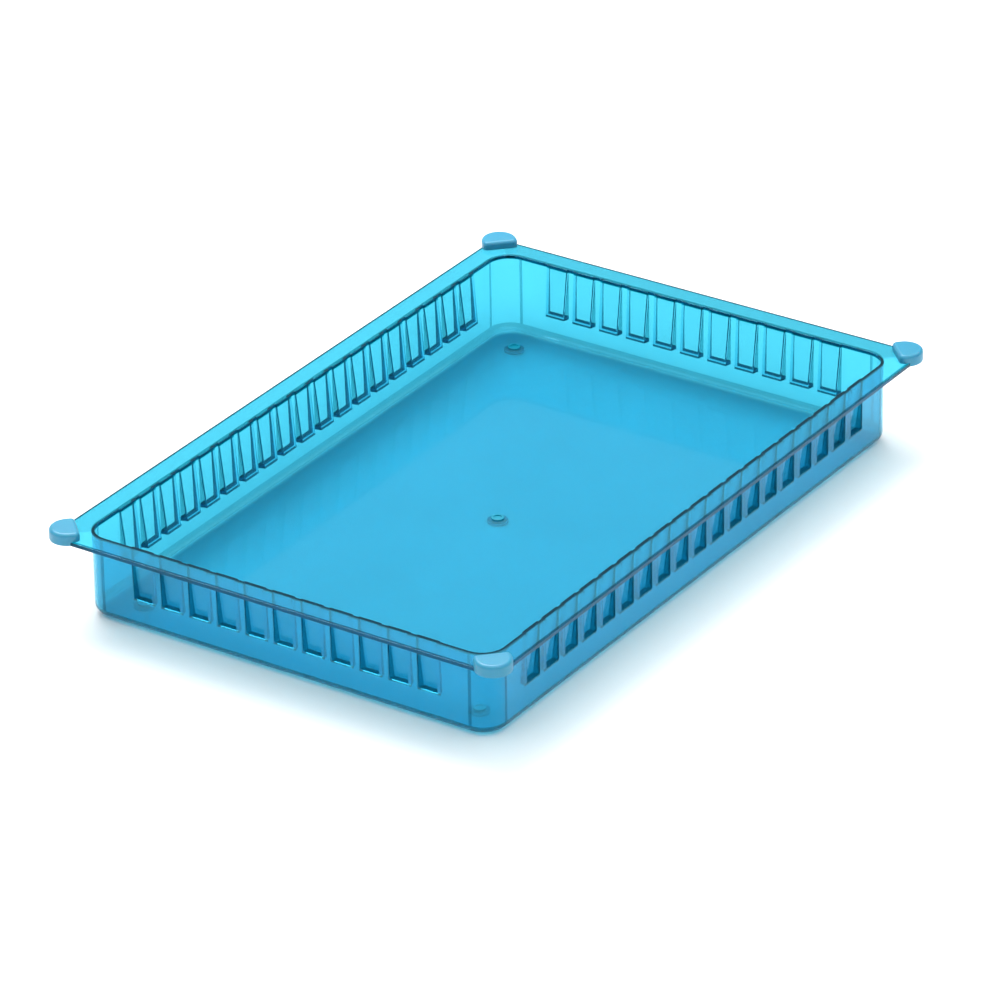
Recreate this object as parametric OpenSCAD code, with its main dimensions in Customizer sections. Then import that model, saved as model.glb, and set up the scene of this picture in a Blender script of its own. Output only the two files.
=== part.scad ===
// Shallow tray for sorting and carrying small parts: one ribbed and flanged moulding,
// four corner studs that keep a stacked tray in place, and five low glide feet.
// Millimetres. +Z is up, X runs across the tray and Y along it. The origin is the middle
// of the tray, on the surface that the feet stand on.

/* [Overall size] */
// Length over the corner studs
overall_l = 600; // [598:1:800]
// Width over the corner studs
overall_w = 400; // [398:1:600]
// Height from the feet to the top of the corner studs
overall_h = 75; // [65:1:120]

/* [Tray shell] */
// Thickness of the walls
wall_t = 2.2; // [1.8:0.1:2.5]
// Thickness of the floor
floor_t = 2.5; // [2:0.1:4]
// Thickness of the rim flange
flange_t = 3; // [2:0.5:5]
// How far the flange reaches out past the outer wall face
flange_reach = 16.5; // [15:0.5:17]
// Radius of the flange's corners
flange_corner_r = 10; // [8:1:12]
// Radius of the tray's upright corners, outside
corner_r = 20; // [12:1:25]
// Radius of the tray's bottom edge, outside
bottom_r = 7; // [5:0.5:12]

/* [Wall pads] */
// Distance from one pad to the next
pad_pitch = 25; // [24:0.1:25]
// Number of pads along each long wall
long_pads = 19; // [3:2:19]
// Number of pads along each short wall
short_pads = 11; // [3:2:11]
// Width of a pad's pocket, at the outer wall face
pocket_w = 16.4; // [14:0.1:17]
// Depth of a pocket at the rim
depth_at_rim = 1; // [0.5:0.5:3.5]
// Depth of a pocket at its foot
depth_at_foot = 5.5; // [4:0.5:7]
// How far each flank of a pocket closes in, per millimetre of depth
flank_slope = 0.25; // [0.1:0.05:0.4]
// Height of the pads' lower edge above the underside of the floor
pad_foot_h = 23; // [16:1:30]

/* [Corner studs] */
// Radius of a stud's round end
stud_r = 14; // [13:0.5:15]
// Distance from the round end's centre to the stud's flat back
stud_back = 7.3; // [5:0.1:9]
// Height of a stud above the flange
stud_rise = 6.5; // [3:0.5:8]
// Radius of the pin that fixes a stud to the flange
stud_pin_r = 4; // [2:0.5:5]

/* [Glide feet] */
// Radius of a foot's pad
foot_r = 8; // [6:0.5:10]
// Height of a foot's pad, below the floor
foot_h = 2; // [1.5:0.5:4]
// Radius of the neck that passes through the floor
foot_neck_r = 3; // [2:0.5:4]
// Radius of the snap button inside the tray
foot_button_r = 5; // [4.5:0.5:6]
// Thickness of the snap button
foot_button_t = 1.2; // [0.8:0.1:2]
// Distance of the corner feet from the outer wall faces
foot_inset = 32; // [20:1:60]

/* [Hidden] */
$fn = 64;
cut = 1; // how far a cutter runs past the face that it opens

// Rim
flange_top = overall_h - stud_rise;
flange_under = flange_top - flange_t;
stud_overhang = stud_r - flange_corner_r;
flange_w = overall_w - 2 * stud_overhang;
flange_l = overall_l - 2 * stud_overhang;
stud_x = flange_w / 2 - flange_corner_r;
stud_y = flange_l / 2 - flange_corner_r;

// Body
body_w = flange_w - 2 * flange_reach;
body_l = flange_l - 2 * flange_reach;
floor_top = foot_h + floor_t;
foot_x = body_w / 2 - foot_inset;
foot_y = body_l / 2 - foot_inset;

// Pads: their faces lean in towards the tray on the way down
pad_foot_z = foot_h + pad_foot_h;
pad_lean = (depth_at_foot - depth_at_rim) / (flange_top - pad_foot_z);
flank_stretch = sqrt(1 + flank_slope * flank_slope);

// Section of a block from its axis out to r, with the lower outer edge rounded
module turned_section(r, edge_r, h) {
    translate([0, edge_r]) square([r, h - edge_r]);
    square([r - edge_r, edge_r]);
    intersection() {
        translate([r - edge_r, edge_r]) circle(edge_r);
        square([r, edge_r]);
    }
}

// Section of a block w wide, with both lower edges rounded
module bar_section(w, edge_r, h) {
    translate([-w / 2, edge_r]) square([w, h - edge_r]);
    translate([edge_r - w / 2, 0]) square([w - 2 * edge_r, edge_r]);
    for (side = [-1, 1])
        translate([side * (w / 2 - edge_r), edge_r]) circle(edge_r);
}

// Block with round upright corners and a round bottom edge
module tub_block(w, l, h, r, edge_r) {
    for (sx = [-1, 1], sy = [-1, 1])
        translate([sx * (w / 2 - r), sy * (l / 2 - r), 0])
            rotate_extrude() turned_section(r, edge_r, h);
    translate([0, l / 2 - r, 0]) rotate([90, 0, 0])
        linear_extrude(l - 2 * r) bar_section(w, edge_r, h);
    translate([r - w / 2, 0, 0]) rotate([90, 0, 90])
        linear_extrude(w - 2 * r) bar_section(l, edge_r, h);
}

// Flat plate with round corners
module round_plate(w, l, r, h) {
    linear_extrude(h) {
        square([w - 2 * r, l], center = true);
        square([w, l - 2 * r], center = true);
        for (sx = [-1, 1], sy = [-1, 1])
            translate([sx * (w / 2 - r), sy * (l / 2 - r)]) circle(r);
    }
}

// One pad's wedge, from height low to height high, with x running into the tray from the
// outer wall face and y along the wall. It stands skin clear of the pocket on all sides.
module pad_wedge(skin, low, high) {
    half = pocket_w / 2 + skin * flank_stretch;
    reach = depth_at_foot + skin + cut;
    face_low = depth_at_foot + skin - pad_lean * (low - pad_foot_z);
    face_high = depth_at_foot + skin - pad_lean * (high - pad_foot_z);
    intersection() {
        translate([0, 0, low]) linear_extrude(high - low)
            polygon([[-cut, -half - cut * flank_slope], [reach, reach * flank_slope - half],
                     [reach, half - reach * flank_slope], [-cut, half + cut * flank_slope]]);
        translate([0, half + cut, 0]) rotate([90, 0, 0]) linear_extrude(2 * (half + cut))
            polygon([[-cut, low], [face_low, low], [face_high, high], [-cut, high]]);
    }
}

// Sets its child at every pad place of the four walls, turned to face into the tray
module at_pads() {
    for (i = [0 : long_pads - 1], side = [-1, 1])
        translate([side * body_w / 2, (i - (long_pads - 1) / 2) * pad_pitch, 0])
            rotate([0, 0, side > 0 ? 180 : 0]) children();
    for (i = [0 : short_pads - 1], side = [-1, 1])
        translate([(i - (short_pads - 1) / 2) * pad_pitch, side * body_l / 2, 0])
            rotate([0, 0, -side * 90]) children();
}

// Sets its child at the centre of every corner stud
module at_studs() {
    for (sx = [-1, 1], sy = [-1, 1])
        translate([sx * stud_x, sy * stud_y, 0]) children();
}

// Sets its child at the centre of every glide foot
module at_feet() {
    for (sx = [-1, 1], sy = [-1, 1])
        translate([sx * foot_x, sy * foot_y, 0]) children();
    children();
}

// Space inside the tray: smooth walls, less the pads that stand in from them
module tray_inside() {
    difference() {
        translate([0, 0, floor_top])
            tub_block(body_w - 2 * wall_t, body_l - 2 * wall_t, overall_h - floor_top,
                      corner_r - wall_t, bottom_r - wall_t);
        at_pads() pad_wedge(wall_t, pad_foot_z, overall_h + cut);
    }
}

// The moulding: floor, walls and rim flange, with a pocket behind every pad
module tray_shell() {
    color([0.20, 0.70, 0.92])
    difference() {
        union() {
            translate([0, 0, foot_h])
                tub_block(body_w, body_l, flange_top - foot_h, corner_r, bottom_r);
            translate([0, 0, flange_under])
                round_plate(flange_w, flange_l, flange_corner_r, flange_t);
        }
        tray_inside();
        at_pads() pad_wedge(0, pad_foot_z + wall_t, flange_under);
        at_studs() translate([0, 0, flange_under - cut])
            cylinder(r = stud_pin_r, h = flange_t + 2 * cut);
        at_feet() translate([0, 0, foot_h - cut])
            cylinder(r = foot_neck_r, h = floor_t + 2 * cut);
    }
}

// Outline of the stud at the right-hand back corner: a half disc and a flat-backed block
module stud_outline() {
    rotate(45) {
        intersection() {
            circle(stud_r);
            translate([0, -2 * stud_r]) square([2 * stud_r, 4 * stud_r]);
        }
        translate([-stud_back, -stud_r]) square([stud_back, 2 * stud_r]);
    }
}

// Outline of the flange around the same corner
module flange_outline() {
    circle(flange_corner_r);
    translate([-stud_r, -stud_r]) square([stud_r, stud_r + flange_corner_r]);
    translate([-stud_r, -stud_r]) square([stud_r + flange_corner_r, stud_r]);
}

// One stud: a cap on the flange, a lip around the flange's corner and a pin through it
module corner_stud(sx, sy) {
    color([0.50, 0.78, 0.88])
    mirror([sx < 0 ? 1 : 0, 0, 0]) mirror([0, sy < 0 ? 1 : 0, 0])
    translate([stud_x, stud_y, 0]) {
        translate([0, 0, flange_top]) linear_extrude(stud_rise) stud_outline();
        translate([0, 0, flange_under]) linear_extrude(flange_t) difference() {
            stud_outline();
            flange_outline();
        }
        translate([0, 0, flange_under]) cylinder(r = stud_pin_r, h = flange_t);
    }
}

// One foot: a pad below the floor, a neck through it and a snap button above it
module glide_foot(sx, sy) {
    color([0.06, 0.42, 0.60])
    translate([sx * foot_x, sy * foot_y, 0]) {
        cylinder(r = foot_r, h = foot_h);
        translate([0, 0, foot_h]) cylinder(r = foot_neck_r, h = floor_t);
        translate([0, 0, floor_top]) cylinder(r = foot_button_r, h = foot_button_t);
    }
}

tray_shell();
corner_stud(-1, -1);  // stud_front_left
corner_stud(1, -1);  // stud_front_right
corner_stud(-1, 1);  // stud_back_left
corner_stud(1, 1);  // stud_back_right
glide_foot(-1, -1);  // foot_front_left
glide_foot(1, -1);  // foot_front_right
glide_foot(-1, 1);  // foot_back_left
glide_foot(1, 1);  // foot_back_right
glide_foot(0, 0);  // foot_centre
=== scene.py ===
import math

import bmesh
import bpy
from mathutils import Matrix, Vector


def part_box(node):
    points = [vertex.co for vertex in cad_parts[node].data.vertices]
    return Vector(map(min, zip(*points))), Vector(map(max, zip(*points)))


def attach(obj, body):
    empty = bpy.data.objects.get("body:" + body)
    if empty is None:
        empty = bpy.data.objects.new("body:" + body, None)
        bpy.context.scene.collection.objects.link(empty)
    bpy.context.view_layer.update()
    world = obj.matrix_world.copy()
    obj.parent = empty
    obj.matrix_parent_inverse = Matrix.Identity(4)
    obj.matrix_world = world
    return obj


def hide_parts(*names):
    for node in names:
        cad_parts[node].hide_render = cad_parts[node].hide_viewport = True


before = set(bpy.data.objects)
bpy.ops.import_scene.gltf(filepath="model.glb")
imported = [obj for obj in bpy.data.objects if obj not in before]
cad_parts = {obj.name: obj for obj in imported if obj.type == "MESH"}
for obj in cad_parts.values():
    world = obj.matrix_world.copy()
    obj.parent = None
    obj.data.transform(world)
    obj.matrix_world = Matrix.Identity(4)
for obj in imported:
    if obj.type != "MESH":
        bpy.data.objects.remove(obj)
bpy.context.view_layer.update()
bpy.ops.object.select_all(action="DESELECT")
scene = bpy.context.scene
mm = 0.001
tiny = 0.001 * mm  # two places nearer than this are the same place

shellLow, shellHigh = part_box("tray_shell")
studLow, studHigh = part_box("stud_back_right")
footLow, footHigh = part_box("foot_centre")
print("frame loaded, tray shell reaches from", tuple(shellLow), "to", tuple(shellHigh))


def useOnly(piece):
    bpy.ops.object.select_all(action="DESELECT")
    piece.select_set(True)
    bpy.context.view_layer.objects.active = piece


def addBlock(name, low, high):
    middle = [(a + b) / 2 for a, b in zip(low, high)]
    bpy.ops.object.select_all(action="DESELECT")
    bpy.ops.mesh.primitive_cube_add(size=1, location=middle)
    block = bpy.context.object
    block.name = name
    block.scale = [b - a for a, b in zip(low, high)]
    bpy.ops.object.transform_apply(location=True, rotation=True, scale=True)
    return block


def addRound(name, centre, radius, bottom, top, sides):
    middle = (centre[0], centre[1], (bottom + top) / 2)
    bpy.ops.object.select_all(action="DESELECT")
    bpy.ops.mesh.primitive_cylinder_add(
        vertices=sides, radius=radius, depth=top - bottom, location=middle)
    part = bpy.context.object
    part.name = name
    bpy.ops.object.transform_apply(location=True, rotation=True, scale=True)
    return part


def startPicking(piece, kind):
    useOnly(piece)
    bpy.ops.object.mode_set(mode="EDIT")
    bpy.ops.mesh.select_mode(type=kind)
    bpy.ops.mesh.select_all(action="DESELECT")
    return bmesh.from_edit_mesh(piece.data)


# the three pick functions and editAll leave edit mode open, and leaveEdit closes it
def pickVerts(piece, wanted):
    shape = startPicking(piece, "VERT")
    for vert in shape.verts:
        vert.select = wanted(vert.co)
    shape.select_flush(True)
    bmesh.update_edit_mesh(piece.data)


def pickEdges(piece, wanted):
    shape = startPicking(piece, "EDGE")
    for edge in shape.edges:
        edge.select = wanted(edge.verts[0].co, edge.verts[1].co)
    shape.select_flush_mode()
    bmesh.update_edit_mesh(piece.data)


def pickFaces(piece, wanted):
    shape = startPicking(piece, "FACE")
    for face in shape.faces:
        face.select = wanted(face.calc_center_median(), face.normal)
    shape.select_flush_mode()
    bmesh.update_edit_mesh(piece.data)


def editAll(piece):
    useOnly(piece)
    bpy.ops.object.mode_set(mode="EDIT")
    bpy.ops.mesh.select_all(action="SELECT")


def leaveEdit():
    bpy.ops.object.mode_set(mode="OBJECT")


def roundEdges(piece, wanted, radius, steps):
    pickEdges(piece, wanted)
    bpy.ops.mesh.bevel(offset=radius, offset_type="OFFSET", segments=steps, profile=0.5,
                       affect="EDGES", clamp_overlap=False)
    leaveEdit()


def extrudeUp(rise):
    bpy.ops.mesh.extrude_region_move(TRANSFORM_OT_translate={"value": (0, 0, rise)})


def upright(a, b):
    return abs(a.x - b.x) < tiny and abs(a.y - b.y) < tiny


def combine(body, other, operation):
    useOnly(body)
    cut = body.modifiers.new("combine", "BOOLEAN")
    cut.operation = operation
    cut.solver = "EXACT"
    cut.object = other
    bpy.ops.object.modifier_apply(modifier=cut.name)
    bpy.data.objects.remove(other)


def joinAll(pieces, name):
    bpy.ops.object.select_all(action="DESELECT")
    for piece in pieces:
        piece.select_set(True)
    bpy.context.view_layer.objects.active = pieces[0]
    bpy.ops.object.join()
    pieces[0].name = name
    return pieces[0]


def copyTurned(master, place, turn, name):
    # a copy with its own mesh, turned about the upright axis and then moved into place
    twin = master.copy()
    twin.data = master.data.copy()
    twin.name = name
    scene.collection.objects.link(twin)
    useOnly(twin)
    twin.rotation_euler = (0, 0, turn)
    twin.location = place
    bpy.ops.object.transform_apply(location=True, rotation=True, scale=True)
    return twin


def cleanUp(piece, merge):
    # merges what lies closer than merge, and joins the faces that lie in one plane
    editAll(piece)
    bpy.ops.mesh.remove_doubles(threshold=merge)
    bpy.ops.mesh.dissolve_limited(angle_limit=math.radians(1))
    bpy.ops.mesh.normals_make_consistent(inside=False)
    leaveEdit()


def mergeClose(piece, merge):
    editAll(piece)
    bpy.ops.mesh.remove_doubles(threshold=merge)
    bpy.ops.mesh.dissolve_degenerate(threshold=merge)
    leaveEdit()


def softenEdges(piece, width, steps, angle):
    useOnly(piece)
    soft = piece.modifiers.new("soften", "BEVEL")
    soft.width = width
    soft.segments = steps
    soft.limit_method = "ANGLE"
    soft.angle_limit = math.radians(angle)
    soft.use_clamp_overlap = False
    soft.miter_outer = "MITER_SHARP"
    bpy.ops.object.modifier_apply(modifier=soft.name)


def smoothOver(piece, angle):
    # shades the soft edges smooth and keeps the flat faces flat
    useOnly(piece)
    bpy.ops.object.shade_smooth_by_angle(angle=math.radians(angle))
    even = piece.modifiers.new("evenShade", "WEIGHTED_NORMAL")
    even.mode = "FACE_AREA"
    even.weight = 100
    even.keep_sharp = True
    bpy.ops.object.modifier_apply(modifier=even.name)


shell = {
    "wall": 2.2 * mm,
    "floor": 2.5 * mm,
    "flange": 3 * mm,
    "flangeReach": 16.5 * mm,
    "flangeCorner": 10 * mm,
    "corner": 20 * mm,
    "bottomEdge": 7 * mm,
    "cornerSteps": 12,
    "flangeSteps": 10,
    "bottomSteps": 5,
    "padPitch": 25 * mm,
    "longPads": 19,
    "shortPads": 11,
    "pocketWidth": 16.4 * mm,
    "depthAtRim": 1 * mm,
    "depthAtFoot": 5.5 * mm,
    "flankSlope": 0.25,
    "padFoot": 23 * mm,
    "pinHole": 4.02 * mm,
    "pinHoleSides": 32,
    "neckHole": 3.02 * mm,
    "neckHoleSides": 24,
    "rimBand": 2.6 * mm,  # height of the strip under the rim that gets painted shade of its own
    "rimLineIn": 0.3 * mm,
    "softEdge": 0.45 * mm,
    "softSteps": 2,
    "softAngle": 30,
    "smoothAngle": 35,
    "cutPast": 1 * mm,  # how far a cutter runs past the face that it opens
}
bodyX = shellHigh.x - shell["flangeReach"]
bodyY = shellHigh.y - shell["flangeReach"]
innerX = bodyX - shell["wall"] - shell["rimLineIn"]
innerY = bodyY - shell["wall"] - shell["rimLineIn"]
floorTop = shellLow.z + shell["floor"]
rimTop = shellHigh.z
rimUnder = rimTop - shell["flange"]
padFootZ = shellLow.z + shell["padFoot"]
cornerX = shellHigh.x - shell["flangeCorner"]
cornerY = shellHigh.y - shell["flangeCorner"]
footPlaces = {}
for footName in ("foot_front_left", "foot_front_right", "foot_back_left",
                 "foot_back_right", "foot_centre"):
    low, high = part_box(footName)
    footPlaces[footName] = (low + high) / 2


def roundTub(name, halfX, halfY, bottom, top, cornerR, edgeR):
    tub = addBlock(name, (-halfX, -halfY, bottom), (halfX, halfY, top))
    roundEdges(tub, upright, cornerR, shell["cornerSteps"])
    roundEdges(tub, lambda a, b: max(a.z, b.z) < bottom + tiny, edgeR, shell["bottomSteps"])
    return tub


def padWedge(name, skin, low, high):
    # one pad, skin clear of its pocket, with x running into the tray from the outer wall
    # face and y along the wall
    slope = shell["flankSlope"]
    half = shell["pocketWidth"] / 2 + skin * math.sqrt(1 + slope * slope)
    lean = (shell["depthAtFoot"] - shell["depthAtRim"]) / (rimTop - padFootZ)
    behind = shell["cutPast"]
    faceLow = shell["depthAtFoot"] + skin - lean * (low - padFootZ)
    faceHigh = shell["depthAtFoot"] + skin - lean * (high - padFootZ)
    wide = half + behind * slope
    wedge = addBlock(name, (-behind, -wide, low), (faceHigh, wide, high))
    middle = (low + high) / 2
    pickVerts(wedge, lambda co: co.x > 0 and co.z > middle)
    bpy.ops.transform.resize(value=(1, (half - faceHigh * slope) / wide, 1),
                             center_override=(0, 0, high))
    leaveEdit()
    pickVerts(wedge, lambda co: co.x > 0 and co.z < middle)
    bpy.ops.transform.translate(value=(faceLow - faceHigh, 0, 0))
    bpy.ops.transform.resize(value=(1, (half - faceLow * slope) / wide, 1),
                             center_override=(0, 0, low))
    leaveEdit()
    return wedge


def atEveryPad(master, name):
    copies = []
    for i in range(shell["longPads"]):
        y = (i - (shell["longPads"] - 1) / 2) * shell["padPitch"]
        copies.append(copyTurned(master, (-bodyX, y, 0), 0, name))
        copies.append(copyTurned(master, (bodyX, y, 0), math.pi, name))
    for i in range(shell["shortPads"]):
        x = (i - (shell["shortPads"] - 1) / 2) * shell["padPitch"]
        copies.append(copyTurned(master, (x, -bodyY, 0), math.pi / 2, name))
        copies.append(copyTurned(master, (x, bodyY, 0), -math.pi / 2, name))
    bpy.data.objects.remove(master)
    return joinAll(copies, name)


def makeShell():
    # the tub ends a little under the rim, so that its top isn't in one plane with the flange's
    tray = roundTub("trayShell", bodyX, bodyY, shellLow.z, rimTop - 0.4 * mm,
                    shell["corner"], shell["bottomEdge"])
    flange = addBlock("flange", (-shellHigh.x, -shellHigh.y, rimUnder),
                      (shellHigh.x, shellHigh.y, rimTop))
    roundEdges(flange, upright, shell["flangeCorner"], shell["flangeSteps"])
    combine(tray, flange, "UNION")

    insideTop = rimTop + 6 * mm
    padsTop = rimTop + 8 * mm
    inside = roundTub("inside", bodyX - shell["wall"], bodyY - shell["wall"], floorTop,
                      insideTop, shell["corner"] - shell["wall"],
                      shell["bottomEdge"] - shell["wall"])
    pads = padWedge("pads", shell["wall"], padFootZ, padsTop)
    combine(inside, atEveryPad(pads, "pads"), "DIFFERENCE")
    combine(tray, inside, "DIFFERENCE")

    pockets = padWedge("pockets", 0, padFootZ + shell["wall"], rimUnder)
    combine(tray, atEveryPad(pockets, "pockets"), "DIFFERENCE")

    past = shell["cutPast"]
    for sideX in (-1, 1):
        for sideY in (-1, 1):
            hole = addRound("pinHole", (sideX * cornerX, sideY * cornerY), shell["pinHole"],
                            rimUnder - past, rimTop + past, shell["pinHoleSides"])
            combine(tray, hole, "DIFFERENCE")
    for place in footPlaces.values():
        hole = addRound("neckHole", place, shell["neckHole"], shellLow.z - past,
                        floorTop + past, shell["neckHoleSides"])
        combine(tray, hole, "DIFFERENCE")
    cleanUp(tray, 0.02 * mm)

    # an edge all round under the rim, where the painted shade of the rim band starts
    editAll(tray)
    bpy.ops.mesh.bisect(plane_co=(0, 0, rimTop - shell["rimBand"]), plane_no=(0, 0, 1))
    leaveEdit()
    softenEdges(tray, shell["softEdge"], shell["softSteps"], shell["softAngle"])
    mergeClose(tray, 0.015 * mm)
    smoothOver(tray, shell["smoothAngle"])
    return tray


# painted shade per kind of face: how far its colour is pulled towards the dark painted shade
# colour
paintedShadeDepths = {
    "pocketFlank": 0.9,
    "padFlank": 0.0,
    "padFace": 0.26,
    "flangePlate": 0.38,
    "wall": 0.08,
    "ledge": 0.9,
    "rimEdge": 0.85,
    "flangeEdge": 1.0,
    "bottomEdge": 0.7,
    "cornerLine": 0.8,
}


def isPocketSide(c, n, atEnd):
    # a pocket's flanks face each other across the pad's middle line
    place = c.x if atEnd else c.y
    middle = round(place / shell["padPitch"]) * shell["padPitch"]
    facing = n.x if atEnd else n.y
    return facing * (place - middle) < 0


def paintedShadeOf(c, n):
    # how much painted shade one face gets, from its middle c and its normal n
    atEnd = abs(c.y) - innerY > abs(c.x) - innerX  # it belongs to a short wall
    outward = n.y * math.copysign(1, c.y) if atEnd else n.x * math.copysign(1, c.x)
    along = abs(n.x) if atEnd else abs(n.y)
    depthIn = bodyY - abs(c.y) if atEnd else bodyX - abs(c.x)
    inCorner = abs(c.x) > bodyX - shell["corner"] and abs(c.y) > bodyY - shell["corner"]
    inPads = padFootZ - 1 * mm < c.z < rimTop - 0.6 * mm and not inCorner
    notLevel = abs(n.z) < 0.9
    turn = math.degrees(math.acos(min(1, max(abs(n.x), abs(n.y)))))

    if c.z > rimTop - shell["rimBand"] and depthIn > 0 and notLevel:
        return paintedShadeDepths["rimEdge"]
    if inPads and abs(n.z) > 0.5 and c.z < padFootZ + 5 * mm and depthIn > 0:
        return paintedShadeDepths["ledge"]
    if inPads and along > 0.6 and depthIn > 0:
        return paintedShadeDepths["pocketFlank" if isPocketSide(c, n, atEnd) else "padFlank"]
    if inPads and outward < -0.6 and depthIn > shell["wall"] + 0.7 * mm:
        return paintedShadeDepths["padFace"]
    if depthIn < 0.6 * mm - shell["flangeReach"] and notLevel:
        return paintedShadeDepths["flangeEdge"]
    if depthIn < 0 and abs(n.z) > 0.9 and c.z > rimUnder - 0.1 * mm:
        return paintedShadeDepths["flangePlate"]
    if c.z < shellLow.z + shell["bottomEdge"] and n.z < -0.05 and outward > 0.2:
        return paintedShadeDepths["bottomEdge"]
    if 2 < turn < 9 and abs(n.z) < 0.1 and outward > 0.9 and c.z < rimUnder:
        return paintedShadeDepths["cornerLine"]
    return paintedShadeDepths["wall"] if abs(n.z) < 0.5 else 0.0


def setPaintedShade(tray):
    # painted shade: pocket flanks, pad faces, ledges, the flange and the edges get a darker
    # colour, standing in for the dark look that light refracted through the clear plastic
    # gives them
    depths = [paintedShadeOf(face.center, face.normal) for face in tray.data.polygons]
    layer = tray.data.attributes.new("paintedShade", "FLOAT", "FACE")
    layer.data.foreach_set("value", depths)


trayShell = makeShell()
setPaintedShade(trayShell)
print("tray shell:", len(trayShell.data.polygons), "faces")


stud = {
    "radius": 13.98 * mm,
    "back": 7.3 * mm,
    "pin": 3.98 * mm,
    "topEdge": 2.8 * mm,
    "backEdge": 4 * mm,
    "lipEdge": 0.8 * mm,
    "clearance": 0.03 * mm,
    "pinEdge": 0.6 * mm,
    "pinSides": 32,
    "frontSteps": 14,
    "edgeSteps": 5,
    "lipSteps": 2,
    "smoothAngle": 40,
}


def makeStud():
    # modelled at the right-hand back corner with its centre over the origin
    gap = stud["clearance"]
    cap = addBlock("studCap", (-stud["back"], -stud["radius"], studLow.z),
                   (stud["radius"], stud["radius"], studHigh.z))
    front = stud["radius"] * 0.999  # the two front edges must not quite meet
    steps = stud["edgeSteps"]
    roundEdges(cap, lambda a, b: upright(a, b) and a.x < 0, stud["backEdge"], steps)
    roundEdges(cap, lambda a, b: upright(a, b) and a.x > 0, front, stud["frontSteps"])
    roundEdges(cap, lambda a, b: min(a.z, b.z) > studHigh.z - tiny, stud["topEdge"], steps)
    roundEdges(cap, lambda a, b: max(a.z, b.z) < studLow.z + tiny, stud["lipEdge"],
               stud["lipSteps"])
    useOnly(cap)
    cap.rotation_euler = (0, 0, math.radians(45))
    bpy.ops.object.transform_apply(location=True, rotation=True, scale=True)
    cleanUp(cap, 0.03 * mm)

    # the space that the flange's corner takes, so that only the lip reaches down around it
    reach = shell["flangeCorner"] + gap
    behind = -40 * mm
    rim = addBlock("rimCorner", (behind, behind, studLow.z - 5 * mm),
                   (reach, reach, rimTop + gap))
    roundEdges(rim, lambda a, b: upright(a, b) and a.x > 0 and a.y > 0, reach,
               shell["flangeSteps"])
    combine(cap, rim, "DIFFERENCE")
    pin = addRound("studPin", (0, 0), stud["pin"], rimUnder, rimTop + 2 * mm,
                   stud["pinSides"])
    roundEdges(pin, lambda a, b: max(a.z, b.z) < rimUnder + tiny, stud["pinEdge"],
               stud["lipSteps"])
    combine(cap, pin, "UNION")
    cleanUp(cap, 0.01 * mm)
    smoothOver(cap, stud["smoothAngle"])
    return cap


# which way each stud's corner lies, and its turn from the right-hand back corner
studPlaces = {
    "stud_back_right": (1, 1, 0),
    "stud_back_left": (-1, 1, math.pi / 2),
    "stud_front_left": (-1, -1, math.pi),
    "stud_front_right": (1, -1, -math.pi / 2),
}
studMaster = makeStud()
studs = {}
for studName, (sideX, sideY, turn) in studPlaces.items():
    place = (sideX * cornerX, sideY * cornerY, 0)
    studs[studName] = copyTurned(studMaster, place, turn, studName + "_cap")
bpy.data.objects.remove(studMaster)
print("corner studs:", len(studs))


foot = {
    "radius": 8 * mm,
    "neck": 2.98 * mm,
    "button": 5 * mm,
    "recessInset": 1.8 * mm,
    "recess": 0.7 * mm,
    "padEdge": 0.7 * mm,
    "buttonEdge": 0.4 * mm,
    "clearance": 0.03 * mm,
    "sides": 48,
    "edgeSteps": 3,
    "smoothAngle": 40,
}


def makeFoot():
    # one round pad, whose top is drawn up into the neck and the snap button
    gap = foot["clearance"]
    padTop = shellLow.z - gap
    buttonUnder = floorTop + gap
    flare = 0.02 * mm  # height over which the neck opens out to the button
    pad = addRound("footPad", (0, 0), foot["radius"], footLow.z, padTop, foot["sides"])

    def pickTop(height):
        # the level face at this height whose middle is on the foot's own axis
        pickFaces(pad, lambda c, n: n.z > 0.9 and abs(c.z - height) < 10 * tiny
                  and c.xy.length < 1 * mm)

    pickTop(padTop)
    bpy.ops.mesh.inset(thickness=foot["radius"] - foot["neck"], use_even_offset=True)
    extrudeUp(buttonUnder - padTop)
    leaveEdit()
    pickTop(buttonUnder)
    extrudeUp(flare)
    wide = foot["button"] / foot["neck"]
    bpy.ops.transform.resize(value=(wide, wide, 1), center_override=(0, 0, 0))
    extrudeUp(footHigh.z - buttonUnder - flare)
    leaveEdit()
    pickTop(footHigh.z)
    bpy.ops.mesh.inset(thickness=foot["recessInset"])
    extrudeUp(-foot["recess"])
    leaveEdit()
    steps = foot["edgeSteps"]
    roundEdges(pad, lambda a, b: max(a.z, b.z) < footLow.z + tiny, foot["padEdge"], steps)
    roundEdges(pad, lambda a, b: min(a.z, b.z) > footHigh.z - tiny
               and min(a.xy.length, b.xy.length) > foot["button"] - 0.1 * mm,
               foot["buttonEdge"], steps)
    smoothOver(pad, foot["smoothAngle"])
    return pad


footMaster = makeFoot()
feet = {}
for footName, place in footPlaces.items():
    feet[footName] = copyTurned(footMaster, (place.x, place.y, 0), 0, footName + "_glide")
bpy.data.objects.remove(footMaster)
print("glide feet:", len(feet))


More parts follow.
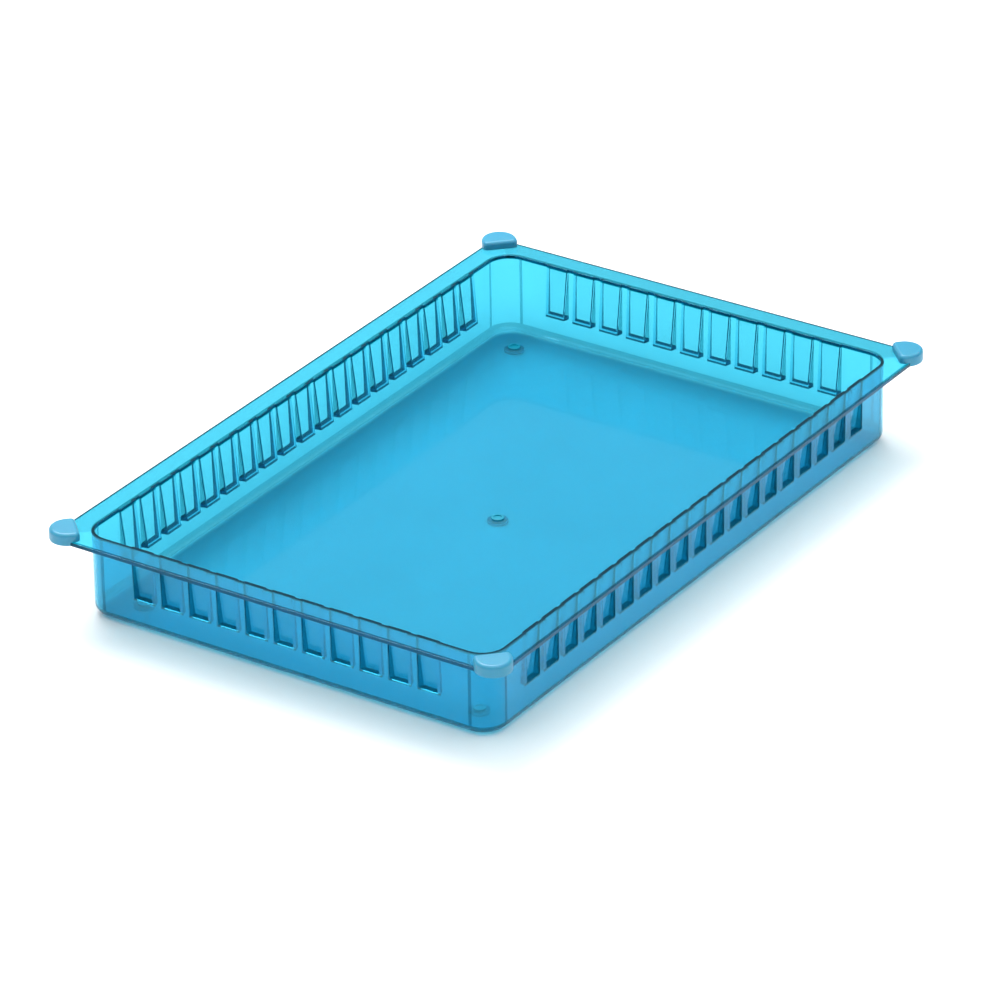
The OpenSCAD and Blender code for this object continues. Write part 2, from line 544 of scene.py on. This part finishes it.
clearBlue = {
    "clearTint": (0.13, 0.76, 0.95),
    # the dark colour of the painted shade and the painted edge lines
    "paintedShadeColour": (0.0, 0.15, 0.20),
    "tintSpread": 0.04,
    "absorbColour": (0.10, 0.77, 0.91),
    "absorbDensity": 190,
    "haze": 0.15,
    "shadeLineDepth": 1.0,
    "rimShadeWidth": 3.4 * mm,
    "edgeShadeWidth": 2.8 * mm,
    "refraction": 1.49,
    "glossTint": (0.22, 0.72, 1.0),
    "glossLevel": 0.4,
    "roughness": (0.02, 0.08),
    "scratch": 0.12,
    "rippleScale": 26,
    "rippleHeight": 0.12 * mm,
}
studBlue = {
    "colour": (0.03, 0.29, 0.46),
    "tintSpread": 0.08,
    "underSkin": 0.35,
    "underSkinReach": 4 * mm,
    "roughness": (0.26, 0.42),
    "scratch": 0.2,
    "rippleScale": 240,
    "rippleHeight": 0.05 * mm,
}
footBlue = {
    "colour": (0.0, 0.26, 0.38),
    "tintSpread": 0.15,
    "glossLevel": 0.25,
    "roughness": (0.34, 0.5),
    "scratch": 0.25,
    "rippleScale": 320,
    "rippleHeight": 0.06 * mm,
}
mouldedSkin = {
    "patchScale": 9,
    "patchDetail": 4,
    "scratchStretch": (40, 900, 40),
    "scratchTurn": 0.5,
    "scratchDetail": 2,
    "scratchStart": 0.66,
    "scratchFull": 0.78,
    "rippleDetail": 3,
    "rippleStrength": 0.25,
}


def newMaterial(name):
    material = bpy.data.materials.new(name)
    material.use_nodes = True
    tree = material.node_tree
    return material, tree, tree.nodes["Principled BSDF"]


def noiseNode(tree, vector, scale, detail):
    noise = tree.nodes.new("ShaderNodeTexNoise")
    noise.inputs["Scale"].default_value = scale
    noise.inputs["Detail"].default_value = detail
    tree.links.new(vector, noise.inputs["Vector"])
    return noise.outputs["Fac"]


def rangeNode(tree, value, fromMin, fromMax, toMin, toMax):
    span = tree.nodes.new("ShaderNodeMapRange")
    span.inputs["From Min"].default_value = fromMin
    span.inputs["From Max"].default_value = fromMax
    span.inputs["To Min"].default_value = toMin
    span.inputs["To Max"].default_value = toMax
    tree.links.new(value, span.inputs["Value"])
    return span.outputs["Result"]


def addMouldedSkin(tree, shader, place, plastic):
    # broad patches and fine scratches in the gloss, and a faint ripple in the surface
    patches = noiseNode(tree, place, mouldedSkin["patchScale"], mouldedSkin["patchDetail"])
    gloss = rangeNode(tree, patches, 0.3, 0.7, *plastic["roughness"])
    stretch = tree.nodes.new("ShaderNodeMapping")
    stretch.inputs["Scale"].default_value = mouldedSkin["scratchStretch"]
    stretch.inputs["Rotation"].default_value = (0, 0, mouldedSkin["scratchTurn"])
    tree.links.new(place, stretch.inputs["Vector"])
    scratches = noiseNode(tree, stretch.outputs["Vector"], 1, mouldedSkin["scratchDetail"])
    thin = rangeNode(tree, scratches, mouldedSkin["scratchStart"], mouldedSkin["scratchFull"],
                     0, plastic["scratch"])
    tree.links.new(mathNode(tree, "ADD", gloss, thin), shader.inputs["Roughness"])
    ripple = noiseNode(tree, place, plastic["rippleScale"], mouldedSkin["rippleDetail"])
    bump = tree.nodes.new("ShaderNodeBump")
    bump.inputs["Strength"].default_value = mouldedSkin["rippleStrength"]
    bump.inputs["Distance"].default_value = plastic["rippleHeight"]
    tree.links.new(ripple, bump.inputs["Height"])
    tree.links.new(bump.outputs["Normal"], shader.inputs["Normal"])
    return patches


def mathNode(tree, operation, first, second):
    node = tree.nodes.new("ShaderNodeMath")
    node.operation = operation
    for socket, value in zip(node.inputs, (first, second)):
        if isinstance(value, (int, float)):
            socket.default_value = value
        elif value is not None:
            tree.links.new(value, socket)
    return node.outputs["Value"]


def mixNode(tree, factor, first, second):
    # mixes two colours, each one a colour or another node's output
    mix = tree.nodes.new("ShaderNodeMix")
    mix.data_type = "RGBA"
    tree.links.new(factor, mix.inputs["Factor"])
    for socket, colour in zip((mix.inputs[6], mix.inputs[7]), (first, second)):
        if isinstance(colour, tuple):
            socket.default_value = (*colour, 1)
        else:
            tree.links.new(colour, socket)
    return mix.outputs[2]


def patchyTint(tree, patches, colour, spread):
    # the colour, a little darker and a little lighter in broad patches
    darker = tuple(c * (1 - spread) for c in colour)
    lighter = tuple(min(1, c * (1 + spread)) for c in colour)
    return mixNode(tree, patches, darker, lighter)


def pastCorner(tree, value, straight):
    # how far past the straight part of a side a place is, and 0 beside it
    away = mathNode(tree, "ABSOLUTE", value, None)
    away = mathNode(tree, "SUBTRACT", away, straight)
    return mathNode(tree, "MAXIMUM", away, 0.0)


def outlineMask(tree, split, halfX, halfY, radius, width):
    # 1 on a round-cornered outline around the tray, fading to 0 at width from it
    overX = pastCorner(tree, split.outputs["X"], halfX - radius)
    overY = pastCorner(tree, split.outputs["Y"], halfY - radius)
    squares = mathNode(tree, "ADD", mathNode(tree, "MULTIPLY", overX, overX),
                       mathNode(tree, "MULTIPLY", overY, overY))
    away = mathNode(tree, "SUBTRACT", mathNode(tree, "SQRT", squares, None), radius)
    away = mathNode(tree, "ABSOLUTE", away, None)
    return rangeNode(tree, away, width * 0.7, width, 1, 0)


def paintedShadeParts(tree, place):
    # the painted shade stored on the faces, and painted dark lines along the inner rim and the
    # flange's edge, where refraction shows the clear plastic's edges dark
    split = tree.nodes.new("ShaderNodeSeparateXYZ")
    tree.links.new(place, split.inputs["Vector"])
    rimLine = outlineMask(tree, split, innerX, innerY, shell["corner"] - shell["wall"],
                          clearBlue["rimShadeWidth"])
    edgeLine = outlineMask(tree, split, shellHigh.x, shellHigh.y, shell["flangeCorner"],
                           clearBlue["edgeShadeWidth"])
    nearRim = mathNode(tree, "GREATER_THAN", split.outputs["Z"], rimUnder + 0.2 * mm)
    lines = mathNode(tree, "MULTIPLY", mathNode(tree, "MAXIMUM", rimLine, edgeLine), nearRim)
    lines = mathNode(tree, "MULTIPLY", lines, clearBlue["shadeLineDepth"])
    depth = tree.nodes.new("ShaderNodeAttribute")
    depth.attribute_name = "paintedShade"
    return mathNode(tree, "MAXIMUM", lines, depth.outputs["Fac"])


def makeClearBlue():
    material, tree, shader = newMaterial("clearBluePlastic")
    place = tree.nodes.new("ShaderNodeTexCoord").outputs["Object"]
    patches = addMouldedSkin(tree, shader, place, clearBlue)
    shader.inputs["IOR"].default_value = clearBlue["refraction"]
    shader.inputs["Specular IOR Level"].default_value = clearBlue["glossLevel"]
    shader.inputs["Specular Tint"].default_value = (*clearBlue["glossTint"], 1)
    shader.inputs["Transmission Weight"].default_value = 1 - clearBlue["haze"]
    tint = patchyTint(tree, patches, clearBlue["clearTint"], clearBlue["tintSpread"])
    # painted shade: the clear tint is pulled towards a dark teal on flanks, ledges, edges and
    # along the rim
    tint = mixNode(tree, paintedShadeParts(tree, place), tint, clearBlue["paintedShadeColour"])
    tree.links.new(tint, shader.inputs["Base Color"])
    absorb = tree.nodes.new("ShaderNodeVolumeAbsorption")
    absorb.inputs["Color"].default_value = (*clearBlue["absorbColour"], 1)
    absorb.inputs["Density"].default_value = clearBlue["absorbDensity"]
    output = tree.nodes["Material Output"]
    tree.links.new(absorb.outputs["Volume"], output.inputs["Volume"])
    return material


def makeStudBlue():
    material, tree, shader = newMaterial("studBluePlastic")
    place = tree.nodes.new("ShaderNodeTexCoord").outputs["Object"]
    patches = addMouldedSkin(tree, shader, place, studBlue)
    tint = patchyTint(tree, patches, studBlue["colour"], studBlue["tintSpread"])
    tree.links.new(tint, shader.inputs["Base Color"])
    shader.inputs["Subsurface Weight"].default_value = studBlue["underSkin"]
    shader.inputs["Subsurface Scale"].default_value = studBlue["underSkinReach"]
    return material


def makeFootBlue():
    material, tree, shader = newMaterial("footBluePlastic")
    place = tree.nodes.new("ShaderNodeTexCoord").outputs["Object"]
    patches = addMouldedSkin(tree, shader, place, footBlue)
    tint = patchyTint(tree, patches, footBlue["colour"], footBlue["tintSpread"])
    tree.links.new(tint, shader.inputs["Base Color"])
    shader.inputs["Specular IOR Level"].default_value = footBlue["glossLevel"]
    return material


def finishPiece(piece, material, node):
    piece.data.materials.clear()
    piece.data.materials.append(material)
    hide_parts(node)
    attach(piece, "root")


finishPiece(trayShell, makeClearBlue(), "tray_shell")
studMaterial = makeStudBlue()
for studName, piece in studs.items():
    finishPiece(piece, studMaterial, studName)
footMaterial = makeFootBlue()
for footName, piece in feet.items():
    finishPiece(piece, footMaterial, footName)
print("finishes set")


studio = {
    "floorColour": (0.90, 0.90, 0.90),
    "floorSize": 14,
    "floorRoughness": 0.6,
    "skyBright": 2.0,
    "skyLevels": ((0.0, 0.6), (0.2, 0.14), (0.5, 0.14), (0.8, 1.0)),  # height, brightness
    "keyPower": 70,
    "keySize": 2.2,
    "keyPlace": (-1.4, 1.0, 2.6),
    "cameraPlace": (2.47022, -3.68520, 2.35683),
    "cameraRound": 33.809,  # degrees round the tray from the middle of its short side
    "cameraDown": 27.777,
    "cameraRoll": -0.940,
    "cameraLens": 240.39,
}


def makeFloor():
    bpy.ops.object.select_all(action="DESELECT")
    bpy.ops.mesh.primitive_plane_add(size=studio["floorSize"], location=(0, 0, 0))
    floor = bpy.context.object
    floor.name = "studioFloor"
    material, tree, shader = newMaterial("paleFloor")
    shader.inputs["Base Color"].default_value = (*studio["floorColour"], 1)
    shader.inputs["Roughness"].default_value = studio["floorRoughness"]
    floor.data.materials.append(material)


def makeSky():
    world = bpy.data.worlds.new("studioSky")
    scene.world = world
    world.use_nodes = True
    tree = world.node_tree
    place = tree.nodes.new("ShaderNodeTexCoord")
    split = tree.nodes.new("ShaderNodeSeparateXYZ")
    tree.links.new(place.outputs["Generated"], split.inputs["Vector"])
    level = tree.nodes.new("ShaderNodeValToRGB")
    stops = level.color_ramp.elements
    while len(stops) < len(studio["skyLevels"]):
        stops.new(0.5)
    for stop, (height, bright) in zip(stops, studio["skyLevels"]):
        stop.position = height
        stop.color = (bright, bright, bright, 1)
    tree.links.new(split.outputs["Z"], level.inputs["Fac"])
    sky = tree.nodes["Background"]
    sky.inputs["Strength"].default_value = studio["skyBright"]
    tree.links.new(level.outputs["Color"], sky.inputs["Color"])


def makeKey():
    bpy.ops.object.select_all(action="DESELECT")
    bpy.ops.object.light_add(type="AREA", location=studio["keyPlace"])
    key = bpy.context.object
    key.name = "softKey"
    key.data.shape = "DISK"
    key.data.size = studio["keySize"]
    key.data.energy = studio["keyPower"]
    key.rotation_mode = "QUATERNION"
    key.rotation_quaternion = (-key.location).to_track_quat("-Z", "Y")


def makeCamera():
    bpy.ops.object.select_all(action="DESELECT")
    bpy.ops.object.camera_add(location=studio["cameraPlace"])
    camera = bpy.context.object
    camera.name = "studioCamera"
    turn = (Matrix.Rotation(math.radians(studio["cameraRound"]), 3, "Z")
            @ Matrix.Rotation(math.radians(90 - studio["cameraDown"]), 3, "X")
            @ Matrix.Rotation(math.radians(studio["cameraRoll"]), 3, "Z"))
    camera.rotation_euler = turn.to_euler()
    camera.data.lens = studio["cameraLens"]
    camera.data.sensor_width = 36
    camera.data.clip_end = 50
    scene.camera = camera


makeFloor()
makeSky()
makeKey()
makeCamera()
scene.view_settings.view_transform = "Standard"
print("floor, light and camera set")


bpy.context.view_layer.update()
